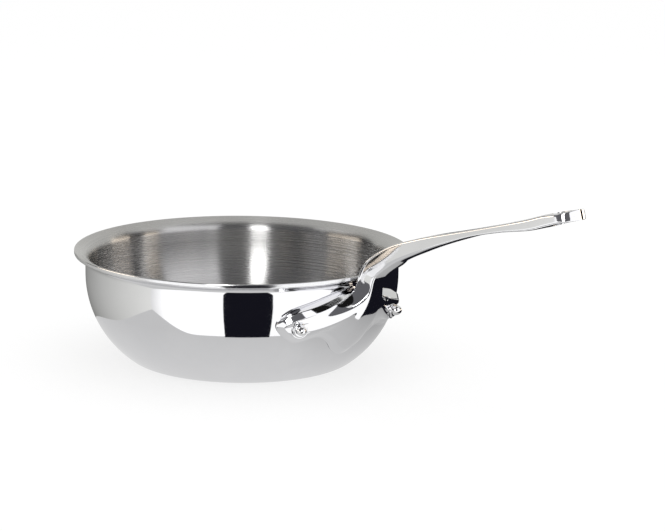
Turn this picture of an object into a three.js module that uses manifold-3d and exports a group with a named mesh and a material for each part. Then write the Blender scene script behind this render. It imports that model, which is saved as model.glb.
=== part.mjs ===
import * as THREE from 'three';
import { mergeVertices } from 'three/addons/utils/BufferGeometryUtils.js';
import Module from 'manifold-3d';

const wasm = await Module();
wasm.setup();

// Saute pan with curved, splayed sides and one cast handle. Millimetres, +Z up, +X along the handle.
// The origin is the middle of the base's underside.

// Bowl, measured on its outside: flat base, tight heel, wide side curve, upright band, flared lip
const wallRadius = 100.4;
const sideReach = 34.9;
const sideHeight = 55.9;
const heelRadius = 13.2;
const uprightHeight = 7.2;
const lipRadius = 4.5;
const lipReach = 7.1;
const lipAngle = THREE.MathUtils.degToRad(68);
const bowlSegments = 36;

// The clad sheet, from the outside in: magnetic steel, three sheets of aluminium, cooking steel
const outerPlyThickness = 0.5;
const corePlyThickness = 0.53;
const innerPlyThickness = 0.5;
const bondLine = 0.02;

// Plate of the handle, laid along the wall: reaches run round the wall, drops run down from its top edge
const plateDrop = 8.5;
const shoulderReach = 30.5;
const shoulderDrop = 6;
const earReach = 53.8;
const earDrop = 20.9;
const earHeight = 21.1;
const waistReach = 26;
const waistDrop = 29.3;
const tongueReach = 18;
const tongueShoulderDrop = 33;
const tongueTipReach = 10.4;
const tongueDrop = 44.2;

// Relief of the plate: thin edge, sloping upper bevel up to a ridge, front face, swell towards the neck
const edgeThickness = 1.4;
const edgeInset = 0.9;
const ridgeThickness = 5;
const ridgeInset = 2;
const faceThickness = 8;
const faceInset = 5.4;
const earThickness = 4.6;
const earBevel = 4.2;
const tongueThickness = 4;
const tongueBevel = 4;
const swellThickness = 9;
const swellRise = 0.36;

// Neck, shank and grip; flares are shares of the width, added along the edges towards the bowl
const rimGap = 1.1;
const footDrop = 14.9;
const footWidth = 15;
const footThickness = 16.8;
const footFlare = 0.6;
const neckWidth = 10.6;
const neckThickness = 12;
const neckFlare = 0.6;
const flareStart = 0.75;
const sideTaper = 0.1;
const taperEnd = 0.35;
const kneeThickness = 11;
const shankWidth = 14.6;
const shankThickness = 4.4;
const gripWidth = 21.2;
const tailThickness = 6.9;
const gripThickness = 6;
const handleReach = 168.5;
const handleRise = 62.5;
const holeLength = 13;
const holeWidth = 8;
const holeSetback = 12.5;

// Rivets: one through each ear, its outer end a tall dome on a round boss
const rivetInset = 14;
const rivetBelowEar = 0.7;
const shankDiameter = 5;
const domeDiameter = 6.8;
const domeHeight = 4.8;
const bossDiameter = 8.8;
const bossHeight = 6;
const headDiameter = 11;
const headHeight = 1.8;
const rivetSegments = 18;

// Clearance wherever the handle, the rivets and the bowl meet
const fitGap = 0.3;

const sheetThickness = outerPlyThickness + 3 * corePlyThickness + innerPlyThickness + 4 * bondLine;
const baseRadius = wallRadius - sideReach;
const rimRadius = wallRadius + lipReach;

// One arc runs on from the heel and ends upright at the wall
const sideRadius = (sideReach ** 2 + sideHeight ** 2 - 2 * sideHeight * heelRadius)
  / (2 * (sideReach - heelRadius));
const sideCentre = wallRadius - sideRadius;
const heelAngle = Math.asin((sideRadius - sideReach) / (sideRadius - heelRadius));
const heelTop = heelRadius * (1 - Math.cos(heelAngle));
const lipBase = sideHeight + uprightHeight;

// Where a surface that lies a given depth inside the sheet meets the rim, which is trimmed upright
function rimEnd(depth) {
  const radius = lipRadius + depth;
  const bendRadius = wallRadius + lipRadius - radius * Math.cos(lipAngle);
  const bendHeight = lipBase + radius * Math.sin(lipAngle);
  return new THREE.Vector2(rimRadius, bendHeight + (rimRadius - bendRadius) / Math.tan(lipAngle));
}
const rimHeight = rimEnd(sheetThickness).y;

// Profile of a surface that lies a given depth inside the sheet, from the axis to the rim
function sheetProfile(depth) {
  const points = [new THREE.Vector2(0, depth)];
  const heelSteps = 2;
  const sideSteps = 4;
  const lipSteps = 2;
  for (let i = 0; i <= heelSteps; i++) {
    const turn = heelAngle * i / heelSteps;
    const radius = heelRadius - depth;
    const out = baseRadius + radius * Math.sin(turn);
    points.push(new THREE.Vector2(out, heelRadius - radius * Math.cos(turn)));
  }
  for (let i = 1; i <= sideSteps; i++) {
    const turn = heelAngle + (Math.PI / 2 - heelAngle) * i / sideSteps;
    const radius = sideRadius - depth;
    const out = sideCentre + radius * Math.sin(turn);
    points.push(new THREE.Vector2(out, sideHeight - radius * Math.cos(turn)));
  }
  for (let i = 0; i <= lipSteps; i++) {
    const turn = lipAngle * i / lipSteps;
    const radius = lipRadius + depth;
    const middle = wallRadius + lipRadius;
    points.push(new THREE.Vector2(middle - radius * Math.cos(turn), lipBase + radius * Math.sin(turn)));
  }
  points.push(rimEnd(depth));
  return points;
}

// Radius of the bowl at a height, on the surface a given depth inside the sheet
function wallAt(height, depth) {
  if (height >= sideHeight) {
    return wallRadius - depth;
  }
  if (height < heelTop) {
    return baseRadius + Math.sqrt((heelRadius - depth) ** 2 - (heelRadius - height) ** 2);
  }
  return sideCentre + Math.sqrt((sideRadius - depth) ** 2 - (sideHeight - height) ** 2);
}

// Closed solid from a geometry: shared corners merged, faces turned outward
function toSolid(geometry) {
  geometry.deleteAttribute('normal');
  geometry.deleteAttribute('uv');
  const merged = mergeVertices(geometry, 1e-5);
  const places = merged.getAttribute('position').array;
  const corners = [];
  const index = merged.getIndex().array;
  let volume = 0;
  for (let i = 0; i < index.length; i += 3) {
    const [a, b, c] = [index[i], index[i + 1], index[i + 2]];
    if (a !== b && b !== c && c !== a) {
      corners.push(a, b, c);
      const [pa, pb, pc] = [a, b, c].map((k) => new THREE.Vector3().fromArray(places, 3 * k));
      volume += pa.dot(pb.cross(pc));
    }
  }
  if (volume < 0) {
    corners.reverse();
  }
  const vertProperties = new Float32Array(places);
  const triVerts = new Uint32Array(corners);
  return new wasm.Manifold(new wasm.Mesh({ numProp: 3, vertProperties, triVerts }));
}

function toMesh(solid, name, material) {
  const { vertProperties, triVerts } = solid.getMesh();
  const geometry = new THREE.BufferGeometry();
  geometry.setAttribute('position', new THREE.BufferAttribute(vertProperties, 3));
  geometry.setIndex(new THREE.BufferAttribute(triVerts, 1));
  geometry.computeVertexNormals();
  const mesh = new THREE.Mesh(geometry, material);
  mesh.name = name;
  return mesh;
}

// Solid turned about +Z from a profile that starts and ends on the axis
function turned(profile, segments) {
  return toSolid(new THREE.LatheGeometry(profile, segments).rotateX(Math.PI / 2));
}

// Smooth value through pairs of place and value
function graded(pairs) {
  const last = pairs.length - 1;
  const slopes = pairs.map((pair, i) => {
    const [before, after] = [pairs[Math.max(i - 1, 0)], pairs[Math.min(i + 1, last)]];
    return (after[1] - before[1]) / (after[0] - before[0]);
  });
  return (place) => {
    let i = 0;
    while (i < last - 1 && place > pairs[i + 1][0]) {
      i++;
    }
    const width = pairs[i + 1][0] - pairs[i][0];
    const t = THREE.MathUtils.clamp((place - pairs[i][0]) / width, 0, 1);
    const rise = pairs[i + 1][1] - pairs[i][1];
    const bend = (1 - t) * (slopes[i] * width - rise) - t * (slopes[i + 1] * width - rise);
    return pairs[i][1] + t * rise + t * (1 - t) * bend;
  };
}

// Depths in the sheet at which each ply starts, counted from the outside
const outside = 0;
const lowerCore = outerPlyThickness + bondLine;
const middleCore = lowerCore + corePlyThickness + bondLine;
const upperCore = middleCore + corePlyThickness + bondLine;
const cookingFace = upperCore + corePlyThickness + bondLine;
const inside = sheetThickness;

function ply(depth, thickness) {
  const profile = [...sheetProfile(depth), ...sheetProfile(depth + thickness).reverse()];
  return turned(profile, bowlSegments);
}

// Everything inside a surface of the bowl, closed across the rim
function bowlFill(depth) {
  const profile = sheetProfile(depth);
  return turned([...profile, new THREE.Vector2(0, profile.at(-1).y)], bowlSegments);
}

// Rivet places, one in each ear of the handle's plate
const plateTop = rimHeight - plateDrop;
const rivetHeight = plateTop - earDrop - rivetBelowEar;
const rivetAngle = (earReach - rivetInset) / wallRadius;
const bossFace = wallAt(rivetHeight, outside) + bossHeight;

// Round solid whose axis runs out from the pan's axis through a rivet; profile y is the distance out
function onRivetAxis(profile, side) {
  const geometry = new THREE.LatheGeometry(profile, rivetSegments);
  return toSolid(geometry.rotateZ(-Math.PI / 2).rotateZ(side * rivetAngle).translate(0, 0, rivetHeight));
}

function rod(radius, from, to, side) {
  const corners = [[0, from], [radius, from], [radius, to], [0, to]];
  return onRivetAxis(corners.map(([x, y]) => new THREE.Vector2(x, y)), side);
}

function rivetHole(side) {
  const from = wallAt(rivetHeight, inside) - headDiameter;
  return rod(shankDiameter / 2 + fitGap, from, bossFace + bossHeight, side);
}

function rivet(side) {
  const seat = bossFace + fitGap;
  const start = wallAt(rivetHeight, inside) - headHeight / 2;
  const profile = [
    new THREE.Vector2(0, start),
    new THREE.Vector2(shankDiameter / 2, start),
    new THREE.Vector2(shankDiameter / 2, seat),
  ];
  const domeSteps = 5;
  for (let i = 0; i <= domeSteps; i++) {
    const turn = Math.PI / 2 * i / domeSteps;
    const radius = i === domeSteps ? 0 : domeDiameter / 2 * Math.cos(turn);
    profile.push(new THREE.Vector2(radius, seat + domeHeight * Math.sin(turn)));
  }
  return onRivetAxis(profile, side).add(rivetHead(side));
}

// Low inner head, square to the wall and formed to its curve
function rivetHead(side) {
  const innerRadius = wallAt(rivetHeight, inside);
  const lean = Math.asin(Math.max(sideHeight - rivetHeight, 0) / (sideRadius - sheetThickness));
  const profile = [
    new THREE.Vector2(0, -headHeight),
    new THREE.Vector2(headDiameter / 2, -headHeight),
  ];
  const steps = 4;
  for (let i = 0; i <= steps; i++) {
    const turn = Math.PI / 2 * i / steps;
    const radius = i === steps ? 0 : headDiameter / 2 * Math.cos(turn);
    profile.push(new THREE.Vector2(radius, headHeight * (0.3 + 0.7 * Math.sin(turn))));
  }
  const geometry = new THREE.LatheGeometry(profile, rivetSegments).rotateZ(Math.PI / 2).rotateY(lean);
  geometry.translate(innerRadius, 0, rivetHeight).rotateZ(side * rivetAngle);
  return toSolid(geometry).intersect(bowlFill(inside + fitGap));
}

// Place on the wall: reach round it, height, and distance out from its surface
function onWall(reach, height, out) {
  const radius = wallAt(height, outside) + out;
  const angle = reach / wallRadius;
  return new THREE.Vector3(radius * Math.cos(angle), radius * Math.sin(angle), height);
}

// Outline of the plate, a closed loop from the middle of its top edge
const halfOutline = [
  [0, 0],
  [shoulderReach, shoulderDrop],
  [earReach - 0.32 * earHeight, earDrop - 0.45 * earHeight],
  [earReach, earDrop],
  [earReach - 0.55 * earHeight, earDrop + 0.5 * earHeight],
  [waistReach, waistDrop],
  [tongueReach, tongueShoulderDrop],
  [tongueTipReach, 0.65 * tongueDrop + 0.35 * tongueShoulderDrop],
  [0, tongueDrop],
];
const otherHalf = halfOutline.slice(1, -1).reverse().map(([reach, drop]) => [-reach, drop]);
const wholeOutline = [...halfOutline, ...otherHalf];
const outlinePoints = wholeOutline.map(([reach, drop]) => new THREE.Vector3(reach, -drop, 0));
const outline = new THREE.CatmullRomCurve3(outlinePoints, true, 'catmullrom');
const stationCount = 40;

// Relief along the half outline: 0 is the middle of the top, 3/8 the end of the ear, 1 the tip of the tongue
const ridgeInsetAt = graded([[0, 0], [1 / 8, ridgeInset], [3 / 8, edgeInset], [1, edgeInset]]);
const ridgeOutAt = graded([
  [0, ridgeThickness / 2],
  [1 / 8, ridgeThickness],
  [2 / 8, earThickness],
  [3 / 8, edgeThickness + edgeInset / 2],
  [1, edgeThickness + edgeInset / 2],
]);
const faceInsetAt = graded([
  [0, ridgeInset],
  [1 / 8, faceInset],
  [2 / 8, faceInset],
  [3 / 8, earBevel],
  [4 / 8, tongueBevel],
  [1, tongueBevel],
]);
const faceOutAt = graded([
  [0, ridgeThickness],
  [1 / 8, faceThickness],
  [3 / 8, earThickness],
  [4 / 8, tongueThickness],
  [1, tongueThickness],
]);
// Angle round the neck's section, from its top, that each place of the outline runs up to
const sectionTurns = [0, 56, 77, 85, 89, 93, 97, 101, 106, 112, 118, 125, 133, 143, 154, 167, 180];
const sectionTurnAt = graded(sectionTurns.map((turn, i) => [i / 16, THREE.MathUtils.degToRad(turn)]));

const stations = [];
for (let i = 0; i < stationCount; i++) {
  const point = outline.getPoint(i / stationCount);
  const along = outline.getTangent(i / stationCount);
  const share = 2 * Math.min(i, stationCount - i) / stationCount;
  const side = 2 * i <= stationCount ? 1 : -1;
  stations.push({ reach: point.x, height: plateTop + point.y, inward: [along.y, -along.x], share, side });
}

function plateRing(insetAt, outAt) {
  return stations.map(({ reach, height, inward, share }) => {
    const inset = insetAt(share);
    return onWall(reach + inset * inward[0], height + inset * inward[1], outAt(share));
  });
}

// Middle line of the neck, shank and grip; the shares run from the neck at the rim to the tip
const neckReach = rimGap + 0.57 * neckThickness;
const shankCurve = [
  [0.034, 0.109], [0.094, 0.22], [0.159, 0.315], [0.246, 0.408], [0.335, 0.494], [0.451, 0.592],
  [0.545, 0.667], [0.675, 0.76], [0.816, 0.854], [0.887, 0.916], [1, 1],
];
const reachAt = (share) => rimRadius + neckReach + (handleReach - neckReach) * share;
const spinePoints = [
  new THREE.Vector3(rimRadius + neckReach - 0.87 * neckThickness, 0, rimHeight - 1.35 * footDrop),
  new THREE.Vector3(rimRadius + neckReach - 0.14 * neckThickness, 0, rimHeight - footDrop),
  new THREE.Vector3(rimRadius + neckReach - 0.02 * neckThickness, 0, rimHeight - 0.46 * footDrop),
  new THREE.Vector3(reachAt(0), 0, rimHeight),
  ...shankCurve.map(([along, up]) => new THREE.Vector3(reachAt(along), 0, rimHeight + handleRise * up)),
];
const spine = new THREE.CatmullRomCurve3(spinePoints, false, 'catmullrom');
const thicknessAt = graded([
  [0, neckThickness],
  [0.13, kneeThickness],
  [0.5, shankThickness],
  [0.66, shankThickness],
  [0.83, tailThickness],
  [1, gripThickness],
]);
const widthAt = graded([[0, neckWidth], [0.4, shankWidth], [0.87, gripWidth], [1, gripWidth]]);
const flareAt = graded([
  [0, neckFlare],
  [0.034, 0.3 * neckFlare],
  [0.094, 0.1 * neckFlare],
  [0.25, 0],
  [1, 0],
]);
// Exponent of the section: 2 is an ellipse, and higher is flatter with tighter corners
const squarenessAt = graded([[0, 10], [0.3, 9], [0.6, 8], [1, 8]]);

// Flat-sided section square to the middle line, shaped for its share of the way to the tip
function section(centre, along, width, thickness, share, flare) {
  const power = 2 / squarenessAt(share);
  const taper = sideTaper * Math.max(1 - share / taperEnd, 0);
  const rounded = (value) => Math.sign(value) * Math.abs(value) ** power;
  const up = new THREE.Vector3(-along.z, 0, along.x);
  return stations.map((station) => {
    const turn = sectionTurnAt(station.share);
    const tall = rounded(Math.cos(turn));
    const flared = flare * Math.max(tall - flareStart, 0) / (1 - flareStart);
    const point = centre.clone().addScaledVector(up, tall * thickness / 2);
    point.y = station.side * rounded(Math.sin(turn)) * (1 + taper * tall + flared) * width / 2;
    return point;
  });
}

function spineSection(i, width, thickness, share, flare) {
  const along = spine.getTangent(i / (spinePoints.length - 1));
  return section(spinePoints[i], along, width, thickness, share, flare);
}

function armSection(share, i) {
  return spineSection(i, widthAt(share), thicknessAt(share), share, flareAt(share));
}

// Half round end of the grip
const tip = spinePoints.at(-1);
const gripAlong = tip.clone().sub(spinePoints.at(-2)).normalize();
function gripEnd(turn) {
  const centre = tip.clone().addScaledVector(gripAlong, gripWidth / 2 * (Math.sin(turn) - 1));
  return section(centre, gripAlong, gripWidth * Math.cos(turn), gripThickness, 1, 0);
}

// Halfway from the plate's face to the neck's foot, kept close to the wall so that the plate swells up to it
function swellPoint(face, foot) {
  const point = face.clone().lerp(foot, 0.5);
  point.z = THREE.MathUtils.lerp(face.z, foot.z, swellRise);
  const wall = wallAt(point.z, outside);
  const radius = Math.hypot(point.x, point.y);
  const kept = wall - Math.log(Math.exp(wall - radius) + Math.exp(-swellThickness));
  return point.multiply(new THREE.Vector3(kept / radius, kept / radius, 1));
}

// Rings that the handle is lofted through: up the plate's relief, then along the arm
const faceRing = plateRing(faceInsetAt, faceOutAt);
const footRing = spineSection(1, footWidth, footThickness, 0, footFlare);
const armRings = [
  faceRing,
  faceRing.map((point, i) => swellPoint(point, footRing[i])),
  footRing,
  spineSection(2, (footWidth + neckWidth) / 2, neckThickness, 0, (footFlare + neckFlare) / 2),
  spineSection(3, neckWidth, neckThickness, 0, neckFlare),
  ...shankCurve.slice(0, -1).map(([share], i) => armSection(share, i + 4)),
  gripEnd(0),
];
const bends = stations.map((_, i) => new THREE.CatmullRomCurve3(armRings.map((ring) => ring[i])));
const smoothRings = [];
armRings.slice(1).forEach((_, k) => {
  const steps = k < 7 ? 2 : 1;
  for (let j = 1; j <= steps; j++) {
    smoothRings.push(bends.map((bend) => bend.getPoint((k + j / steps) / (armRings.length - 1))));
  }
});
const endTurns = [28, 52, 70, 82].map((turn) => THREE.MathUtils.degToRad(turn));
const rings = [
  plateRing(() => 0, () => -sheetThickness),
  plateRing(() => 0, () => edgeThickness),
  plateRing(ridgeInsetAt, ridgeOutAt),
  faceRing,
  ...smoothRings,
  ...endTurns.map(gripEnd),
];

// Closed skin through rings of equal count, with a fan to a middle point at each end
function lofted(ringList, firstMiddle, lastMiddle) {
  const count = ringList[0].length;
  const points = [...ringList.flat(), firstMiddle, lastMiddle];
  const faces = [];
  for (let r = 0; r + 1 < ringList.length; r++) {
    for (let i = 0; i < count; i++) {
      const [a, b] = [r * count + i, r * count + (i + 1) % count];
      faces.push(a, b, b + count, a, b + count, a + count);
    }
  }
  const lastStart = (ringList.length - 1) * count;
  for (let i = 0; i < count; i++) {
    const next = (i + 1) % count;
    faces.push(points.length - 2, next, i);
    faces.push(points.length - 1, lastStart + i, lastStart + next);
  }
  const geometry = new THREE.BufferGeometry().setFromPoints(points);
  geometry.setIndex(faces);
  return toSolid(geometry);
}

// Oval hole through the grip to hang the pan by
function hangingHole() {
  const radius = holeWidth / 2;
  const straight = holeLength / 2 - radius;
  const shape = new THREE.Shape();
  shape.absarc(straight, 0, radius, -Math.PI / 2, Math.PI / 2);
  shape.absarc(-straight, 0, radius, Math.PI / 2, 3 * Math.PI / 2);
  const depth = 4 * gripThickness;
  const geometry = new THREE.ExtrudeGeometry(shape, { depth, bevelEnabled: false, curveSegments: 8 });
  const across = new THREE.Vector3(0, 1, 0);
  const up = gripAlong.clone().cross(across);
  const frame = new THREE.Matrix4().makeBasis(gripAlong, across, up);
  frame.setPosition(tip.clone().addScaledVector(gripAlong, -holeSetback));
  return toSolid(geometry.translate(0, 0, -depth / 2).applyMatrix4(frame));
}

function handle() {
  const plateBack = onWall(0, plateTop - earDrop, -wallRadius / 4);
  let body = lofted(rings, plateBack, tip);
  for (const side of [-1, 1]) {
    body = body.add(rod(bossDiameter / 2, wallAt(rivetHeight, inside), bossFace, side));
  }
  body = body.subtract(bowlFill(-fitGap));
  return drilled(body).subtract(hangingHole());
}

function drilled(solid) {
  return solid.subtract(rivetHole(-1)).subtract(rivetHole(1));
}

const satinSteel = new THREE.MeshStandardMaterial({ color: 0xb4b0a8, roughness: 0.35, metalness: 1 });
const mirrorSteel = new THREE.MeshStandardMaterial({ color: 0xc9cacc, roughness: 0.08, metalness: 1 });
const coreAluminium = new THREE.MeshStandardMaterial({ color: 0xcfd0d2, roughness: 0.45, metalness: 1 });
const castSteel = new THREE.MeshStandardMaterial({ color: 0xc4c5c8, roughness: 0.1, metalness: 1 });
const rivetSteel = new THREE.MeshStandardMaterial({ color: 0xd0d0d2, roughness: 0.15, metalness: 1 });

const pan = new THREE.Group();
pan.add(toMesh(drilled(ply(outside, outerPlyThickness)), 'outer_ply', mirrorSteel));
pan.add(toMesh(drilled(ply(lowerCore, corePlyThickness)), 'core_ply_lower', coreAluminium));
pan.add(toMesh(drilled(ply(middleCore, corePlyThickness)), 'core_ply_middle', coreAluminium));
pan.add(toMesh(drilled(ply(upperCore, corePlyThickness)), 'core_ply_upper', coreAluminium));
pan.add(toMesh(drilled(ply(cookingFace, innerPlyThickness)), 'inner_ply', satinSteel));
pan.add(toMesh(handle(), 'handle', castSteel));
pan.add(toMesh(rivet(-1), 'left_rivet', rivetSteel));
pan.add(toMesh(rivet(1), 'right_rivet', rivetSteel));

export default pan;
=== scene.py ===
import math

import bmesh
import bpy
from mathutils import Matrix, Vector


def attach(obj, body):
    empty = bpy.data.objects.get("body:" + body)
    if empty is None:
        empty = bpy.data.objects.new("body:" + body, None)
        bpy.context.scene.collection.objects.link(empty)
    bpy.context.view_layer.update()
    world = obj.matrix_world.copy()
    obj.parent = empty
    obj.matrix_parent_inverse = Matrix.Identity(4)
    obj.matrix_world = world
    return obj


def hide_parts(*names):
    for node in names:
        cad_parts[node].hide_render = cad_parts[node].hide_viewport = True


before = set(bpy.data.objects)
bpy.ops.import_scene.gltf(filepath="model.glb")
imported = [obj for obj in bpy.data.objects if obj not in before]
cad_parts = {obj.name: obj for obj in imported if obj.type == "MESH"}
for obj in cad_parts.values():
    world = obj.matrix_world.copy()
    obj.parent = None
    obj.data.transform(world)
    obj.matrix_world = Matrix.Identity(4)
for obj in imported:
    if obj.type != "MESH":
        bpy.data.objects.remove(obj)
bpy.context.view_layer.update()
scene = bpy.context.scene
mm = 0.001
shortestEdge = 1e-6
weldDistance = 1e-7
noiseSpan = (0.3, 0.7)
print("frame loaded:", len(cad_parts), "nodes")


# Small helpers for node trees

def addNode(tree, kind, **settings):
    node = tree.nodes.new(kind)
    for key, value in settings.items():
        setattr(node, key, value)
    return node


def setInputs(node, **values):
    for key, value in values.items():
        node.inputs[key.replace("_", " ")].default_value = value
    return node


def mathNode(tree, operation, first, second=None):
    node = addNode(tree, "ShaderNodeMath", operation=operation)
    for socket, value in zip(node.inputs, (first, second)):
        if isinstance(value, bpy.types.NodeSocket):
            tree.links.new(value, socket)
        elif value is not None:
            socket.default_value = value
    return node.outputs[0]


def rangeNode(tree, value, fromLow, fromHigh, toLow, toHigh):
    node = addNode(tree, "ShaderNodeMapRange")
    tree.links.new(value, node.inputs["Value"])
    setInputs(node, From_Min=fromLow, From_Max=fromHigh, To_Min=toLow, To_Max=toHigh)
    return node.outputs["Result"]


def newGroup(name, inputs, outputs):
    group = bpy.data.node_groups.new(name, "ShaderNodeTree")
    for label, value in inputs.items():
        socket = group.interface.new_socket(label, in_out="INPUT", socket_type="NodeSocketFloat")
        socket.default_value = value
    for label in outputs:
        group.interface.new_socket(label, in_out="OUTPUT", socket_type="NodeSocketFloat")
    return group, addNode(group, "NodeGroupInput"), addNode(group, "NodeGroupOutput")


# Finishes that more than one material shares

def polishGroup():
    # Buffed metal: soft haze, a little waviness, and sparse hairlines left by cleaning
    group, given, put = newGroup(
        "polishMarks",
        {"Haze Scale": 30, "Wave Scale": 45, "Hairline Scale": 260},
        ("Haze", "Wave", "Hairline"),
    )
    place = addNode(group, "ShaderNodeTexCoord").outputs["Object"]
    haze = addNode(group, "ShaderNodeTexNoise")
    setInputs(haze, Detail=5, Roughness=0.6)
    wave = addNode(group, "ShaderNodeTexNoise")
    setInputs(wave, Detail=1, Roughness=0.4)
    stretch = addNode(group, "ShaderNodeMapping")
    setInputs(stretch, Rotation=(0.5, 0.3, 0.9), Scale=(0.05, 1, 1))
    hairline = addNode(group, "ShaderNodeTexNoise")
    setInputs(hairline, Detail=3, Roughness=0.7)
    group.links.new(place, stretch.inputs["Vector"])
    for texture, vector, label in (
        (haze, place, "Haze Scale"),
        (wave, place, "Wave Scale"),
        (hairline, stretch.outputs["Vector"], "Hairline Scale"),
    ):
        group.links.new(vector, texture.inputs["Vector"])
        group.links.new(given.outputs[label], texture.inputs["Scale"])
    group.links.new(haze.outputs["Fac"], put.inputs["Haze"])
    group.links.new(wave.outputs["Fac"], put.inputs["Wave"])
    group.links.new(rangeNode(group, hairline.outputs["Fac"], 0.64, 0.76, 0, 1), put.inputs["Hairline"])
    return group


def ringGroup():
    # Brush lines that run round the pan's axis, each fading in and out along its length
    group, given, put = newGroup("brushedRings", {"Ring Scale": 900, "Streak": 3}, ("Lines", "Bands"))
    place = addNode(group, "ShaderNodeTexCoord").outputs["Object"]
    parts = addNode(group, "ShaderNodeSeparateXYZ")
    group.links.new(place, parts.inputs["Vector"])
    across = mathNode(group, "POWER", parts.outputs["X"], 2)
    along = mathNode(group, "POWER", parts.outputs["Y"], 2)
    radius = mathNode(group, "SQRT", mathNode(group, "ADD", across, along))
    safeRadius = mathNode(group, "MAXIMUM", radius, 0.001)
    ring = mathNode(group, "ADD", radius, mathNode(group, "MULTIPLY", parts.outputs["Z"], 1.4))
    vector = addNode(group, "ShaderNodeCombineXYZ")
    group.links.new(mathNode(group, "MULTIPLY", ring, given.outputs["Ring Scale"]), vector.inputs["X"])
    for axis in ("X", "Y"):
        turn = mathNode(group, "DIVIDE", parts.outputs[axis], safeRadius)
        target = vector.inputs["Y" if axis == "X" else "Z"]
        group.links.new(mathNode(group, "MULTIPLY", turn, given.outputs["Streak"]), target)
    for label, scale, detail in (("Lines", 1.0, 4), ("Bands", 0.16, 2)):
        texture = addNode(group, "ShaderNodeTexNoise")
        setInputs(texture, Scale=scale, Detail=detail, Roughness=0.65)
        group.links.new(vector.outputs["Vector"], texture.inputs["Vector"])
        group.links.new(texture.outputs["Fac"], put.inputs[label])
    return group


polishMarks = polishGroup()
brushedRings = ringGroup()


def newFinish(name):
    finish = bpy.data.materials.new(name)
    finish.use_nodes = True
    tree = finish.node_tree
    tree.nodes.clear()
    shader = addNode(tree, "ShaderNodeBsdfPrincipled")
    out = addNode(tree, "ShaderNodeOutputMaterial")
    tree.links.new(shader.outputs["BSDF"], out.inputs["Surface"])
    setInputs(shader, Metallic=1)
    return finish, tree, shader


def placeGroup(tree, group, **values):
    node = addNode(tree, "ShaderNodeGroup", node_tree=group)
    return setInputs(node, **values)


def toneBetween(tree, factor, dark, light):
    mix = addNode(tree, "ShaderNodeMix", data_type="RGBA")
    tree.links.new(factor, mix.inputs["Factor"])
    mix.inputs["A"].default_value = (*dark, 1)
    mix.inputs["B"].default_value = (*light, 1)
    return next(o for o in mix.outputs if o.type == "RGBA")


def addBump(tree, shader, height, strength, distance):
    bump = addNode(tree, "ShaderNodeBump")
    setInputs(bump, Strength=strength, Distance=distance)
    tree.links.new(height, bump.inputs["Height"])
    tree.links.new(bump.outputs["Normal"], shader.inputs["Normal"])


polished = {
    "bowl": {
        "dark": (0.74, 0.74, 0.755), "light": (0.83, 0.83, 0.84), "rough": (0.03, 0.07),
        "wave": 0.00002, "waveScale": 22,
    },
    "cast": {
        "dark": (0.72, 0.72, 0.735), "light": (0.82, 0.82, 0.83), "rough": (0.03, 0.08),
        "wave": 0.00005, "waveScale": 75,
    },
    "rivet": {
        "dark": (0.74, 0.74, 0.75), "light": (0.84, 0.84, 0.84), "rough": (0.05, 0.1),
        "wave": 0.00002, "waveScale": 90,
    },
    "hazeSpan": (0.3, 0.75),
    "waveStrength": 0.6,
    "hairlineRough": 0.06,
    "hairlineDepth": 0.02,
}

# The flat underside keeps the lathe's rings
turnedBase = {
    "top": 0.0002,
    "ringScale": 700,
    "streak": 2,
    "rough": (0.2, 0.38),
    "depth": 0.3,
}


def polishedFinish(name, look, turned=None):
    finish, tree, shader = newFinish(name)
    marks = placeGroup(tree, polishMarks, Wave_Scale=look["waveScale"])
    haze, hairline = marks.outputs["Haze"], marks.outputs["Hairline"]
    rough = rangeNode(tree, haze, *polished["hazeSpan"], *look["rough"])
    rough = mathNode(tree, "ADD", rough, mathNode(tree, "MULTIPLY", hairline, polished["hairlineRough"]))
    scratch = mathNode(tree, "MULTIPLY", hairline, polished["hairlineDepth"])
    height = mathNode(tree, "SUBTRACT", marks.outputs["Wave"], scratch)
    if turned is not None:
        rings = placeGroup(tree, brushedRings, Ring_Scale=turned["ringScale"], Streak=turned["streak"])
        place = addNode(tree, "ShaderNodeTexCoord").outputs["Object"]
        parts = addNode(tree, "ShaderNodeSeparateXYZ")
        tree.links.new(place, parts.inputs["Vector"])
        mask = rangeNode(tree, parts.outputs["Z"], turned["top"], 2 * turned["top"], 1, 0)
        ringRough = rangeNode(tree, rings.outputs["Lines"], *noiseSpan, *turned["rough"])
        rough = mathNode(tree, "ADD", rough, mathNode(tree, "MULTIPLY", mask, ringRough))
        ringDepth = mathNode(tree, "MULTIPLY", mask, turned["depth"])
        height = mathNode(tree, "ADD", height, mathNode(tree, "MULTIPLY", rings.outputs["Lines"], ringDepth))
    tree.links.new(rough, shader.inputs["Roughness"])
    tone = toneBetween(tree, haze, look["light"], look["dark"])
    tree.links.new(tone, shader.inputs["Base Color"])
    addBump(tree, shader, height, polished["waveStrength"], look["wave"])
    return finish


brushed = {
    "dark": (0.47, 0.465, 0.46),
    "light": (0.58, 0.575, 0.57),
    "rough": (0.25, 0.29),
    "ringScale": 2000,
    "streak": 0.2,
    "lineShare": 0.65,
    "lineStrength": 0.04,
    "lineDepth": 0.00001,
    "anisotropy": 1,
    "quarterTurn": 0.25,
}


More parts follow.
